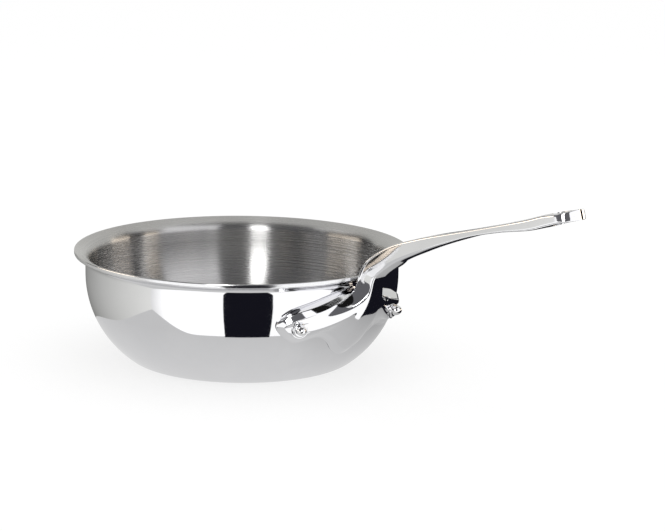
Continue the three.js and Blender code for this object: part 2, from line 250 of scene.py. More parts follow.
def brushedFinish():
    finish, tree, shader = newFinish("brushedSteel")
    rings = placeGroup(tree, brushedRings, Ring_Scale=brushed["ringScale"], Streak=brushed["streak"])
    lines = rings.outputs["Lines"]
    blend = mathNode(
        tree, "ADD",
        mathNode(tree, "MULTIPLY", lines, brushed["lineShare"]),
        mathNode(tree, "MULTIPLY", rings.outputs["Bands"], 1 - brushed["lineShare"]),
    )
    tone = rangeNode(tree, blend, *noiseSpan, 0, 1)
    tree.links.new(toneBetween(tree, tone, brushed["dark"], brushed["light"]), shader.inputs["Base Color"])
    low, high = brushed["rough"]
    tree.links.new(rangeNode(tree, lines, *noiseSpan, high, low), shader.inputs["Roughness"])
    # Reflections spread across the lines, from floor to rim
    setInputs(shader, Anisotropic=brushed["anisotropy"], Anisotropic_Rotation=brushed["quarterTurn"])
    tangent = addNode(tree, "ShaderNodeTangent", direction_type="RADIAL", axis="Z")
    tree.links.new(tangent.outputs["Tangent"], shader.inputs["Tangent"])
    addBump(tree, shader, lines, brushed["lineStrength"], brushed["lineDepth"])
    return finish


coreSheet = {
    "dark": (0.72, 0.72, 0.73),
    "light": (0.82, 0.82, 0.83),
    "rough": (0.1, 0.22),
    "ringScale": 2400,
    "streak": 5,
    "lineStrength": 0.15,
    "lineDepth": 0.00001,
}


def sheetFinish():
    # Bare aluminium, polished with the rim where its edge shows
    finish, tree, shader = newFinish("coreAluminium")
    rings = placeGroup(tree, brushedRings, Ring_Scale=coreSheet["ringScale"], Streak=coreSheet["streak"])
    lines = rings.outputs["Lines"]
    tree.links.new(toneBetween(tree, lines, coreSheet["dark"], coreSheet["light"]), shader.inputs["Base Color"])
    tree.links.new(rangeNode(tree, lines, *noiseSpan, *coreSheet["rough"]), shader.inputs["Roughness"])
    addBump(tree, shader, lines, coreSheet["lineStrength"], coreSheet["lineDepth"])
    return finish


mirrorSteel = polishedFinish("mirrorSteel", polished["bowl"], turned=turnedBase)
castSteel = polishedFinish("castSteel", polished["cast"])
rivetSteel = polishedFinish("rivetSteel", polished["rivet"])
brushedSteel = brushedFinish()
coreAluminium = sheetFinish()
print("finishes made")


# Turned pieces: a profile swept round an axis by one node tree

def turningTree():
    tree = bpy.data.node_groups.new("turnProfile", "GeometryNodeTree")
    for label, kind in (
        ("Geometry", "NodeSocketGeometry"),
        ("Path Radius", "NodeSocketFloat"),
        ("Segments", "NodeSocketInt"),
        ("Lean", "NodeSocketFloat"),
        ("Turn", "NodeSocketFloat"),
        ("Place", "NodeSocketVector"),
        ("Finish", "NodeSocketMaterial"),
    ):
        tree.interface.new_socket(label, in_out="INPUT", socket_type=kind)
    tree.interface.new_socket("Geometry", in_out="OUTPUT", socket_type="NodeSocketGeometry")
    given = addNode(tree, "NodeGroupInput")
    put = addNode(tree, "NodeGroupOutput")
    profile = addNode(tree, "GeometryNodeMeshToCurve")
    path = addNode(tree, "GeometryNodeCurvePrimitiveCircle", mode="RADIUS")
    sweep = addNode(tree, "GeometryNodeCurveToMesh")
    merge = addNode(tree, "GeometryNodeMergeByDistance")
    setInputs(merge, Distance=shortestEdge)
    smooth = addNode(tree, "GeometryNodeSetShadeSmooth")
    angles = addNode(tree, "ShaderNodeCombineXYZ")
    move = addNode(tree, "GeometryNodeTransform")
    realize = addNode(tree, "GeometryNodeRealizeInstances")
    coat = addNode(tree, "GeometryNodeSetMaterial")
    link = tree.links.new
    link(given.outputs["Geometry"], profile.inputs["Mesh"])
    link(given.outputs["Path Radius"], path.inputs["Radius"])
    link(given.outputs["Segments"], path.inputs["Resolution"])
    link(path.outputs["Curve"], sweep.inputs["Curve"])
    link(profile.outputs["Curve"], sweep.inputs["Profile Curve"])
    link(sweep.outputs["Mesh"], merge.inputs["Geometry"])
    link(merge.outputs["Geometry"], smooth.inputs["Geometry"])
    link(given.outputs["Lean"], angles.inputs["Y"])
    link(given.outputs["Turn"], angles.inputs["Z"])
    link(smooth.outputs["Geometry"], move.inputs["Geometry"])
    link(angles.outputs["Vector"], move.inputs["Rotation"])
    link(given.outputs["Place"], move.inputs["Translation"])
    link(move.outputs["Geometry"], realize.inputs["Geometry"])
    link(realize.outputs["Geometry"], coat.inputs["Geometry"])
    link(given.outputs["Finish"], coat.inputs["Material"])
    link(coat.outputs["Geometry"], put.inputs["Geometry"])
    return tree


turnProfile = turningTree()


def linkObject(name, mesh):
    piece = bpy.data.objects.new(name, mesh)
    scene.collection.objects.link(piece)
    return piece


def plainMesh(piece):
    # The evaluated shape becomes the piece's own mesh
    shown = piece.evaluated_get(bpy.context.evaluated_depsgraph_get())
    mesh = bpy.data.meshes.new_from_object(shown)
    piece.modifiers.clear()
    old = piece.data
    piece.data = mesh
    bpy.data.meshes.remove(old)
    return piece


def faceOutward(mesh, sharpAngle):
    work = bmesh.new()
    work.from_mesh(mesh)
    bmesh.ops.remove_doubles(work, verts=work.verts, dist=weldDistance)
    bmesh.ops.recalc_face_normals(work, faces=work.faces)
    work.to_mesh(mesh)
    work.free()
    mesh.shade_smooth()
    mesh.set_sharp_from_angle(angle=math.radians(sharpAngle))


def turnedPiece(name, profile, segments, finish, lean=0, turn=0, place=(0, 0, 0), sharpAngle=35):
    # Profile pairs are radius and height in millimetres, from axis to axis
    pathRadius = 50 * mm
    wire = bpy.data.meshes.new(name)
    points = [(radius * mm - pathRadius, -height * mm, 0) for radius, height in profile]
    wire.from_pydata(points, [(i, i + 1) for i in range(len(points) - 1)], [])
    piece = linkObject(name, wire)
    modifier = piece.modifiers.new("turn", "NODES")
    modifier.node_group = turnProfile
    values = {
        "Path Radius": pathRadius,
        "Segments": segments,
        "Lean": lean,
        "Turn": turn,
        "Place": [value * mm for value in place],
        "Finish": finish,
    }
    for socket in turnProfile.interface.items_tree:
        if socket.in_out == "INPUT" and socket.name in values:
            modifier[socket.identifier] = values[socket.name]
    plainMesh(piece)
    faceOutward(piece.data, sharpAngle)
    return piece


def dropSlivers(mesh):
    # Edges too short to see are closed up
    work = bmesh.new()
    work.from_mesh(mesh)
    bmesh.ops.remove_doubles(work, verts=work.verts, dist=shortestEdge)
    bmesh.ops.dissolve_degenerate(work, edges=work.edges, dist=shortestEdge)
    work.to_mesh(mesh)
    work.free()


def cutOrJoin(piece, tool, operation):
    # The tool goes once it has done its work
    modifier = piece.modifiers.new("shape", "BOOLEAN")
    modifier.operation = operation
    modifier.solver = "EXACT"
    modifier.object = tool
    plainMesh(piece)
    bpy.data.objects.remove(tool)
    dropSlivers(piece.data)
    return piece


# Bowl, in millimetres on its outside: flat base, tight heel, wide side, upright band, flared lip
bowl = {
    "wallRadius": 100.4,
    "sideReach": 34.9,
    "sideHeight": 55.9,
    "heelRadius": 13.2,
    "uprightHeight": 7.2,
    "lipRadius": 4.5,
    "lipReach": 7.1,
    "lipAngle": math.radians(68),
    "outerPly": 0.5,
    "corePly": 0.53,
    "innerPly": 0.5,
    "bondLine": 0.02,
    "rimRound": 0.8,
    "segments": 288,
}

sheetThickness = bowl["outerPly"] + 3 * bowl["corePly"] + bowl["innerPly"] + 4 * bowl["bondLine"]
wallRadius = bowl["wallRadius"]
baseRadius = wallRadius - bowl["sideReach"]
rimRadius = wallRadius + bowl["lipReach"]
sideReach, sideHeight, heelRadius = bowl["sideReach"], bowl["sideHeight"], bowl["heelRadius"]
sideRadius = (sideReach ** 2 + sideHeight ** 2 - 2 * sideHeight * heelRadius) / (2 * (sideReach - heelRadius))
sideCentre = wallRadius - sideRadius
heelAngle = math.asin((sideRadius - sideReach) / (sideRadius - heelRadius))
heelTop = heelRadius * (1 - math.cos(heelAngle))
lipBase = sideHeight + bowl["uprightHeight"]
lipRadius, lipAngle = bowl["lipRadius"], bowl["lipAngle"]


def rimEnd(depth):
    # Rim trimmed upright, its two corners eased
    inset = max(bowl["rimRound"] - min(depth, sheetThickness - depth), 0)
    radius = rimRadius - bowl["rimRound"] + math.sqrt(bowl["rimRound"] ** 2 - inset ** 2)
    lipEnd = wallRadius + lipRadius - (lipRadius + depth) * math.cos(lipAngle)
    return radius, lipBase + (lipRadius + depth) * math.sin(lipAngle) + (radius - lipEnd) / math.tan(lipAngle)


lipTop = lipBase + (lipRadius + sheetThickness) * math.sin(lipAngle)
lipTopRadius = wallRadius + lipRadius - (lipRadius + sheetThickness) * math.cos(lipAngle)
rimHeight = lipTop + (rimRadius - lipTopRadius) / math.tan(lipAngle)


def arcPoints(middle, radius, fromTurn, toTurn, steps):
    # Turns count from straight down, towards the outside
    turns = [fromTurn + (toTurn - fromTurn) * i / steps for i in range(steps + 1)]
    return [(middle[0] + radius * math.sin(turn), middle[1] - radius * math.cos(turn)) for turn in turns]


def sheetProfile(depth, fine):
    base = [(baseRadius * i / 6, depth) for i in range(6)]
    heel = arcPoints((baseRadius, heelRadius), heelRadius - depth, 0, heelAngle, 4 * fine)
    side = arcPoints((sideCentre, sideHeight), sideRadius - depth, heelAngle, math.pi / 2, 16 * fine)
    lipMiddle = (wallRadius + lipRadius, lipBase)
    lip = arcPoints(lipMiddle, lipRadius + depth, 3 * math.pi / 2, 3 * math.pi / 2 - lipAngle, 5 * fine)
    end = rimEnd(depth)
    (startX, startZ), (endX, endZ) = lip[-1], end
    middle = [(startX + (endX - startX) * k / 3, startZ + (endZ - startZ) * k / 3) for k in (1, 2)]
    return base + heel + side[1:] + lip + middle + [end]


def roundedCorner(before, corner, after, size, steps):
    # Short curve in place of a corner; works on pairs and on vectors
    before, corner, after = Vector(before), Vector(corner), Vector(after)
    start = corner + (before - corner) * min(size / max((before - corner).length, 1e-6), 0.45)
    end = corner + (after - corner) * min(size / max((after - corner).length, 1e-6), 0.45)
    shares = [i / steps for i in range(steps + 1)]
    return [start * (1 - t) ** 2 + corner * 2 * t * (1 - t) + end * t * t for t in shares]


def plyProfile(depth, thickness, fine):
    outer, inner = sheetProfile(depth, fine), sheetProfile(depth + thickness, fine)
    edge = [rimEnd(depth + thickness * i / 4) for i in range(1, 4)]
    return outer + edge + inner[::-1]


def wallAt(height, depth):
    if height >= sideHeight:
        return wallRadius - depth
    if height < heelTop:
        return baseRadius + math.sqrt((heelRadius - depth) ** 2 - (heelRadius - height) ** 2)
    return sideCentre + math.sqrt((sideRadius - depth) ** 2 - (sideHeight - height) ** 2)


# Sizes of the cast handle: its plate on the wall, then its arm
plate = {
    "drop": 8.5,
    "shoulderReach": 30.5,
    "shoulderDrop": 6,
    "earReach": 53.8,
    "earDrop": 20.9,
    "earHeight": 21.1,
    "waistReach": 26,
    "waistDrop": 29.3,
    "tongueReach": 18,
    "tongueShoulderDrop": 33,
    "tongueTipReach": 10.4,
    "tongueDrop": 44.2,
    "edgeThickness": 1.4,
    "edgeInset": 0.9,
    "ridgeThickness": 5,
    "ridgeInset": 2,
    "faceThickness": 8,
    "faceInset": 5.4,
    "earThickness": 4.6,
    "earBevel": 4.2,
    "tongueThickness": 4,
    "tongueBevel": 4,
    "swellThickness": 9,
    "swellRise": 0.36,
    "stations": 240,
    "cornerRound": 0.55,
}

arm = {
    "rimGap": 1.1,
    "footDrop": 14.9,
    "footWidth": 15,
    "footThickness": 16.8,
    "footFlare": 0.6,
    "taper": 0.1,
    "taperEnd": 0.35,
    "neckWidth": 10.6,
    "neckThickness": 12,
    "neckFlare": 0.6,
    "flareStart": 0.75,
    "kneeThickness": 11,
    "shankWidth": 14.6,
    "shankThickness": 4.4,
    "gripWidth": 21.2,
    "tailThickness": 6.9,
    "gripThickness": 6,
    "reach": 168.5,
    "rise": 62.5,
    "holeLength": 13,
    "holeWidth": 8,
    "holeSetback": 12.5,
    "holeRound": 0.9,
    "stepsPerRing": 8,
    "rootEasing": 120,
    "rootPull": 0.8,
    "rootStart": 0.2,
    "rootFull": 1,
    "rootFade": 2.8,
    "rootEnd": 4.8,
}


# Rivets, one through each ear: a dome outside, a low head inside
rivet = {
    "inset": 14,
    "belowEar": 0.7,
    "shankDiameter": 5,
    "domeDiameter": 6.8,
    "domeHeight": 4.8,
    "bossDiameter": 8.8,
    "bossHeight": 6,
    "headDiameter": 11,
    "headHeight": 1.8,
    "fitGap": 0.3,
    "segments": 72,
}
fitGap = rivet["fitGap"]
rivetHeight = rimHeight - plate["drop"] - plate["earDrop"] - rivet["belowEar"]
rivetAngle = (plate["earReach"] - rivet["inset"]) / wallRadius
bossFace = wallAt(rivetHeight, 0) + rivet["bossHeight"]


def onRivetAxis(name, profile, side, finish, sharpAngle=35):
    return turnedPiece(
        name, profile, rivet["segments"], finish,
        lean=math.pi / 2, turn=side * rivetAngle, place=(0, 0, rivetHeight), sharpAngle=sharpAngle,
    )


def rivetDrill(side):
    radius = rivet["shankDiameter"] / 2 + fitGap
    near, far = wallAt(rivetHeight, sheetThickness) - rivet["headDiameter"], bossFace + rivet["bossHeight"]
    return onRivetAxis("drill", [(0, near), (radius, near), (radius, far), (0, far)], side, rivetSteel)


def makeRivet(name, side):
    half = rivet["shankDiameter"] / 2
    seat = bossFace + fitGap
    start = wallAt(rivetHeight, sheetThickness) - rivet["headHeight"] / 2
    dome = [math.radians(5 * i) for i in range(18)]
    domeRadius = rivet["domeDiameter"] / 2
    curve = [(domeRadius * math.cos(turn), seat + rivet["domeHeight"] * math.sin(turn)) for turn in dome]
    profile = [(0, start), (half, start), (half, seat), *curve, (0, seat + rivet["domeHeight"])]
    piece = onRivetAxis(name, profile, side, rivetSteel)
    return cutOrJoin(piece, rivetHead(side), "UNION")


def rivetHead(side):
    # Low cap, square to the inner wall
    inner = wallAt(rivetHeight, sheetThickness)
    lean = math.asin(max(sideHeight - rivetHeight, 0) / (sideRadius - sheetThickness))
    radius, height = rivet["headDiameter"] / 2, rivet["headHeight"]
    turns = [math.radians(6 * i) for i in range(15)]
    cap = [(radius * math.cos(turn), height * (0.3 + 0.7 * math.sin(turn))) for turn in turns]
    place = (inner * math.cos(rivetAngle), side * inner * math.sin(rivetAngle), rivetHeight)
    return turnedPiece(
        "head", [(0, 0), (radius, 0), *cap, (0, height)], rivet["segments"], rivetSteel,
        lean=lean - math.pi / 2, turn=side * rivetAngle, place=place,
    )


def makePly(name, node, depth, thickness, finish, fine):
    profile = plyProfile(depth, thickness, fine)
    piece = turnedPiece(name, profile, bowl["segments"], finish, sharpAngle=30)
    for side in (-1, 1):
        cutOrJoin(piece, rivetDrill(side), "DIFFERENCE")
    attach(piece, "root")
    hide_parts(node)
    return piece


coreStep = bowl["corePly"] + bowl["bondLine"]
coreStart = bowl["outerPly"] + bowl["bondLine"]
makePly("outerSheet", "outer_ply", 0, bowl["outerPly"], mirrorSteel, 3)
for count, (name, node) in enumerate((
    ("coreSheetLower", "core_ply_lower"),
    ("coreSheetMiddle", "core_ply_middle"),
    ("coreSheetUpper", "core_ply_upper"),
)):
    makePly(name, node, coreStart + count * coreStep, bowl["corePly"], coreAluminium, 2)
makePly("cookingSheet", "inner_ply", coreStart + 3 * coreStep, bowl["innerPly"], brushedSteel, 3)
print("bowl turned, five sheets")

for name, node, side in (("rivetLeft", "left_rivet", -1), ("rivetRight", "right_rivet", 1)):
    piece = makeRivet(name, side)
    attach(piece, "root")
    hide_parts(node)
print("rivets turned")


# Cast handle: a skin lofted from the plate on the wall, up its relief, along the arm to the grip
def throughPoints(points, share, closed=False, even=True):
    # Point at a share of a smooth curve through points, spaced evenly or by their distances
    count = len(points)
    place = share * (count if closed else count - 1)
    start = int(math.floor(place))
    weight = place - start
    if not closed and start >= count - 1:
        start, weight = count - 2, 1.0
    if closed:
        p0, p1, p2, p3 = (points[(start + k) % count] for k in (-1, 0, 1, 2))
    else:
        p1, p2 = points[start], points[start + 1]
        p0 = points[start - 1] if start > 0 else p1 * 2 - p2
        p3 = points[start + 2] if start + 2 < count else p2 * 2 - p1
    if even:
        slope1, slope2 = (p2 - p0) / 2, (p3 - p1) / 2
    else:
        d1 = math.sqrt((p2 - p1).length) or 1
        d0 = math.sqrt((p1 - p0).length) or d1
        d2 = math.sqrt((p3 - p2).length) or d1
        slope1 = ((p1 - p0) / d0 - (p2 - p0) / (d0 + d1) + (p2 - p1) / d1) * d1
        slope2 = ((p2 - p1) / d1 - (p3 - p1) / (d1 + d2) + (p3 - p2) / d2) * d1
    square = -3 * p1 + 3 * p2 - 2 * slope1 - slope2
    cube = 2 * p1 - 2 * p2 + slope1 + slope2
    return p1 + slope1 * weight + square * weight ** 2 + cube * weight ** 3


def tangentAt(points, share, closed=False):
    low, high = share - 1e-4, share + 1e-4
    if not closed:
        low, high = max(low, 0), min(high, 1)
    else:
        low, high = low % 1, high % 1
    return (throughPoints(points, high, closed) - throughPoints(points, low, closed)).normalized()


def graded(pairs):
    # Smooth value through pairs of place and value
    last = len(pairs) - 1
    slopes = []
    for i in range(len(pairs)):
        before, after = pairs[max(i - 1, 0)], pairs[min(i + 1, last)]
        slopes.append((after[1] - before[1]) / (after[0] - before[0]))

    def valueAt(place):
        i = 0
        while i < last - 1 and place > pairs[i + 1][0]:
            i += 1
        width = pairs[i + 1][0] - pairs[i][0]
        t = min(max((place - pairs[i][0]) / width, 0), 1)
        rise = pairs[i + 1][1] - pairs[i][1]
        bend = (1 - t) * (slopes[i] * width - rise) - t * (slopes[i + 1] * width - rise)
        return pairs[i][1] + t * rise + t * (1 - t) * bend

    return valueAt


def onWall(reach, height, out):
    radius = wallAt(height, 0) + out
    angle = reach / wallRadius
    return Vector((radius * math.cos(angle), radius * math.sin(angle), height))


plateTop = rimHeight - plate["drop"]
earReach, earDrop, earHeight = plate["earReach"], plate["earDrop"], plate["earHeight"]
halfOutline = [
    (0, 0),
    (plate["shoulderReach"], plate["shoulderDrop"]),
    (earReach - 0.32 * earHeight, earDrop - 0.45 * earHeight),
    (earReach, earDrop),
    (earReach - 0.55 * earHeight, earDrop + 0.5 * earHeight),
    (plate["waistReach"], plate["waistDrop"]),
    (plate["tongueReach"], plate["tongueShoulderDrop"]),
    (plate["tongueTipReach"], 0.65 * plate["tongueDrop"] + 0.35 * plate["tongueShoulderDrop"]),
    (0, plate["tongueDrop"]),
]
otherHalf = [(-reach, drop) for reach, drop in halfOutline[-2:0:-1]]
outline = [Vector((reach, -drop, 0)) for reach, drop in halfOutline + otherHalf]

edgeOut = plate["edgeThickness"] + plate["edgeInset"] / 2
ridgeInsetAt = graded([
    (0, 0), (1 / 8, plate["ridgeInset"]), (3 / 8, plate["edgeInset"]), (1, plate["edgeInset"]),
])
ridgeOutAt = graded([
    (0, plate["ridgeThickness"] / 2), (1 / 8, plate["ridgeThickness"]), (2 / 8, plate["earThickness"]),
    (3 / 8, edgeOut), (1, edgeOut),
])
faceInsetAt = graded([
    (0, plate["ridgeInset"]), (1 / 8, plate["faceInset"]), (2 / 8, plate["faceInset"]),
    (3 / 8, plate["earBevel"]), (4 / 8, plate["tongueBevel"]), (1, plate["tongueBevel"]),
])
faceOutAt = graded([
    (0, plate["ridgeThickness"]), (1 / 8, plate["faceThickness"]), (3 / 8, plate["earThickness"]),
    (4 / 8, plate["tongueThickness"]), (1, plate["tongueThickness"]),
])
sectionTurns = [0, 56, 77, 85, 89, 93, 97, 101, 106, 112, 118, 125, 133, 143, 154, 167, 180]
sectionTurnAt = graded([(i / 16, math.radians(turn)) for i, turn in enumerate(sectionTurns)])

stations = []
stationCount = plate["stations"]
for i in range(stationCount):
    point = throughPoints(outline, i / stationCount, closed=True)
    along = tangentAt(outline, i / stationCount, closed=True)
    stations.append({
        "reach": point.x,
        "height": plateTop + point.y,
        "inward": (along.y, -along.x),
        "share": 2 * min(i, stationCount - i) / stationCount,
        "side": 1 if 2 * i <= stationCount else -1,
    })


def plateRing(insetAt, outAt):
    ring = []
    for station in stations:
        inset = insetAt(station["share"])
        reach = station["reach"] + inset * station["inward"][0]
        height = station["height"] + inset * station["inward"][1]
        ring.append(onWall(reach, height, outAt(station["share"])))
    return ring


neckReach = arm["rimGap"] + 0.57 * arm["neckThickness"]
shankCurve = [
    (0.034, 0.109), (0.094, 0.22), (0.159, 0.315), (0.246, 0.408), (0.335, 0.494), (0.451, 0.592),
    (0.545, 0.667), (0.675, 0.76), (0.816, 0.854), (0.887, 0.916), (1, 1),
]


def reachAt(share):
    return rimRadius + neckReach + (arm["reach"] - neckReach) * share


neck, footDrop = arm["neckThickness"], arm["footDrop"]
spine = [
    Vector((rimRadius + neckReach - 0.87 * neck, 0, rimHeight - 1.35 * footDrop)),
    Vector((rimRadius + neckReach - 0.14 * neck, 0, rimHeight - footDrop)),
    Vector((rimRadius + neckReach - 0.02 * neck, 0, rimHeight - 0.46 * footDrop)),
    Vector((reachAt(0), 0, rimHeight)),
    *[Vector((reachAt(along), 0, rimHeight + arm["rise"] * up)) for along, up in shankCurve],
]
thicknessAt = graded([
    (0, neck), (0.13, arm["kneeThickness"]), (0.5, arm["shankThickness"]), (0.66, arm["shankThickness"]),
    (0.83, arm["tailThickness"]), (1, arm["gripThickness"]),
])
widthAt = graded([
    (0, arm["neckWidth"]), (0.4, arm["shankWidth"]), (0.87, arm["gripWidth"]), (1, arm["gripWidth"]),
])
neckFlare, flareStart = arm["neckFlare"], arm["flareStart"]
flareAt = graded([(0, neckFlare), (0.034, 0.3 * neckFlare), (0.094, 0.1 * neckFlare), (0.25, 0), (1, 0)])
squarenessAt = graded([(0, 10), (0.3, 9), (0.6, 8), (1, 8)])


def section(centre, along, width, thickness, share, flare=0):
    power = 2 / squarenessAt(share)
    taper = arm["taper"] * max(1 - share / arm["taperEnd"], 0)
    up = Vector((-along.z, 0, along.x))
    ring = []
    for station in stations:
        turn = sectionTurnAt(station["share"])
        tall = math.copysign(abs(math.cos(turn)) ** power, math.cos(turn))
        spread = 1 + taper * tall + flare * max(tall - flareStart, 0) / (1 - flareStart)
        point = centre + up * tall * thickness / 2
        point.y = station["side"] * abs(math.sin(turn)) ** power * spread * width / 2
        ring.append(point)
    return ring


def spineSection(i, width, thickness, share, flare):
    return section(spine[i], tangentAt(spine, i / (len(spine) - 1)), width, thickness, share, flare)


def swellPoint(face, foot):
    # Halfway from the plate's face to the neck's foot, kept close to the wall so that the neck rises out of it
    point = face.lerp(foot, 0.5)
    point.z = face.z + (foot.z - face.z) * plate["swellRise"]
    radius = math.hypot(point.x, point.y)
    wall = wallAt(point.z, 0)
    scale = (wall - math.log(math.exp(wall - radius) + math.exp(-plate["swellThickness"]))) / radius
    return Vector((point.x * scale, point.y * scale, point.z))


tip = spine[-1]
gripAlong = (spine[-1] - spine[-2]).normalized()


def gripEnd(turn):
    centre = tip + gripAlong * arm["gripWidth"] / 2 * (math.sin(turn) - 1)
    return section(centre, gripAlong, arm["gripWidth"] * math.cos(turn), arm["gripThickness"], 1)


def easeRoot(rings, first):
    # Cast fillets where the neck leaves the plate: each point drawn towards its neighbours, most at the foot
    # Places count the loft's own rings, from the plate's face on
    steps = arm["stepsPerRing"]
    start, full, fade, end = (arm[name] for name in ("rootStart", "rootFull", "rootFade", "rootEnd"))
    for repeat in range(arm["rootEasing"]):
        before = [list(ring) for ring in rings]
        for k in range(first + 2, first + math.ceil(end) * steps):
            place = (k - first) / steps
            weight = min(max((place - start) / (full - start), 0), max((end - place) / (end - fade), 0), 1)
            weight *= arm["rootPull"]
            for i in range(stationCount):
                around = before[k][i - 1] + before[k][(i + 1) % stationCount]
                along = before[k - 1][i] + before[k + 1][i]
                rings[k][i] = before[k][i].lerp((around + along) / 4, weight)


def handleRings():
    backRing = plateRing(lambda share: 0, lambda share: fitGap)
    edgeRing = plateRing(lambda share: 0, lambda share: plate["edgeThickness"])
    ridgeRing = plateRing(ridgeInsetAt, ridgeOutAt)
    faceRing = plateRing(faceInsetAt, faceOutAt)
    footRing = spineSection(1, arm["footWidth"], arm["footThickness"], 0, arm["footFlare"])
    swellRing = [swellPoint(face, foot) for face, foot in zip(faceRing, footRing)]
    armRings = [
        faceRing,
        swellRing,
        footRing,
        spineSection(2, (arm["footWidth"] + arm["neckWidth"]) / 2, neck, 0, (arm["footFlare"] + neckFlare) / 2),
        spineSection(3, arm["neckWidth"], neck, 0, neckFlare),
        *[
            spineSection(i + 4, widthAt(along), thicknessAt(along), along, flareAt(along))
            for i, (along, up) in enumerate(shankCurve[:-1])
        ],
        gripEnd(0),
    ]
    columns = []
    count = len(armRings) - 1
    steps = arm["stepsPerRing"]
    for i in range(stationCount):
        bend = [ring[i] for ring in armRings]
        smooth = [throughPoints(bend, k / (count * steps), even=False) for k in range(1, count * steps + 1)]
        corners = [backRing[i], edgeRing[i], ridgeRing[i], faceRing[i], smooth[0]]
        column = [backRing[i]]
        for k in (1, 2, 3):
            column += roundedCorner(corners[k - 1], corners[k], corners[k + 1], plate["cornerRound"], 4)
        columns.append(column + smooth)
    rings = [list(ring) for ring in zip(*columns)]
    easeRoot(rings, len(rings) - count * steps)
    return backFill() + rings + [gripEnd(math.radians(turn)) for turn in range(8, 90, 8)]


def backFill():
    # The plate's back lies along the wall, from its middle out to its edge
    middle = plateTop - earDrop
    rings = []
    for share in [i / 12 for i in range(1, 12)]:
        rings.append([
            onWall(station["reach"] * share, middle + (station["height"] - middle) * share, fitGap)
            for station in stations
        ])
    return rings


def loftedPiece(name, rings, firstMiddle, lastMiddle, finish):
    count = len(rings[0])
    points = [point for ring in rings for point in ring] + [firstMiddle, lastMiddle]
    faces = []
    for r in range(len(rings) - 1):
        for i in range(count):
            a, b = r * count + i, r * count + (i + 1) % count
            faces.append((a, b, b + count, a + count))
    lastStart = (len(rings) - 1) * count
    for i in range(count):
        following = (i + 1) % count
        faces.append((len(points) - 2, following, i))
        faces.append((len(points) - 1, lastStart + i, lastStart + following))
    mesh = bpy.data.meshes.new(name)
    mesh.from_pydata([point * mm for point in points], [], faces)
    mesh.materials.append(finish)
    piece = linkObject(name, mesh)
    faceOutward(mesh, 40)
    return piece


def bossPiece(side):
    # Round seat for the rivet, with a small fillet down to the ear
    radius, low = rivet["bossDiameter"] / 2, wallAt(rivetHeight, 0) + fitGap
    fillet = [
        (radius + 1.2 * (1 - math.sin(turn)), bossFace - 0.4 - 1.2 * math.cos(turn))
        for turn in [math.radians(15 * i) for i in range(7)]
    ]
    top = [tuple(pair) for pair in roundedCorner((radius, low), (radius, bossFace), (0, bossFace), 0.35, 4)]
    profile = [(0, low + 1), (fillet[0][0], low + 1), *fillet, *top, (0, bossFace)]
    return onRivetAxis("boss", profile, side, castSteel)


def holeCutter():
    # Oval hole to hang the pan by, its edges eased where it meets the grip
    half, easing = arm["gripThickness"] / 2, arm["holeRound"]
    radius = arm["holeWidth"] / 2
    straight = arm["holeLength"] / 2 - radius
    levels = [(-2 * half, easing), (-half - 0.05, easing)]
    turns = [math.radians(15 * i) for i in range(1, 7)]
    levels += [(-half + easing * math.sin(turn), easing * (1 - math.sin(turn))) for turn in turns]
    levels += [(-up, widen) for up, widen in reversed(levels)]
    up = Vector((-gripAlong.z, 0, gripAlong.x))
    middle = tip - gripAlong * arm["holeSetback"]
    rings = []
    for height, widen in levels:
        ring = []
        for i in range(64):
            turn = 2 * math.pi * (i + 0.5) / 64
            shift = math.copysign(straight, math.cos(turn))
            along = shift + (radius + widen) * math.cos(turn)
            point = middle + gripAlong * along + up * height
            point.y = (radius + widen) * math.sin(turn)
            ring.append(point)
        rings.append(ring)
    return loftedPiece("holeCutter", rings, middle - up * 2 * half, middle + up * 2 * half, castSteel)


castHandle = loftedPiece("castHandle", handleRings(), onWall(0, plateTop - earDrop, fitGap), tip, castSteel)
for side in (-1, 1):
    cutOrJoin(castHandle, bossPiece(side), "UNION")
    cutOrJoin(castHandle, rivetDrill(side), "DIFFERENCE")
cutOrJoin(castHandle, holeCutter(), "DIFFERENCE")
castHandle.data.set_sharp_from_angle(angle=math.radians(40))
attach(castHandle, "root")
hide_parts("handle")
print("handle cast:", len(castHandle.data.polygons), "faces")


# Studio: pale floor, soft light, and the cards and screens that the metal shows, in metres

studio = {
    "cameraTurn": math.radians(-42.5),
    "wallRadius": 0.1,
    "drumRadius": 1.1,
    "drumHeight": 1.5,
    "surroundGap": 0.02,
    "cardHeight": 0.0006,
    "cardRows": 12,
    "cardColumns": 24,
    "curlColumns": 16,
    "softColumns": 4,
    "screenStep": 5,
    "roundRows": 12,
    "roundColumns": 64,
    "floorHalf": 8,
    "floorTone": 0.98,
    "floorGlow": 0.72,
    "keyPower": 3,
    "keySize": 1.2,
    "keyPlace": (0.1, 0.1, 1.5),
}

# Painted shadow on the floor close to the pan, seen only by the metal: paler under it, darker towards the right
paintedFloorShadow = {
    "start": 0.06, "end": 0.3, "height": 0.0003, "tone": (1, 1, 1),
    "paleTo": 0.07, "greyFrom": 0.14, "pale": 0.76, "grey": 0.66,
    "rightFrom": 0.04, "rightTo": 0.14, "rightShadowShare": 0.6,
}

# Ceiling: dark in front of the pan, pale above it and behind
ceiling = {"start": 0.001, "tone": (1, 1, 0.98), "paleTo": 0.12, "pale": 0.72, "dark": 0.01}

# Plain tones for everything that the metal shows
tones = {
    "strip": (7, 7, 7),
    "white": (1.3, 1.3, 1.3),
    "grey": (1.3, 1.3, 1.34),
    "warm": (2.8, 2.45, 2.05),
    "pale": (0.72, 0.72, 0.7),
    "dark": (0.14, 0.14, 0.15),
    "black": (0.008, 0.008, 0.013),
}

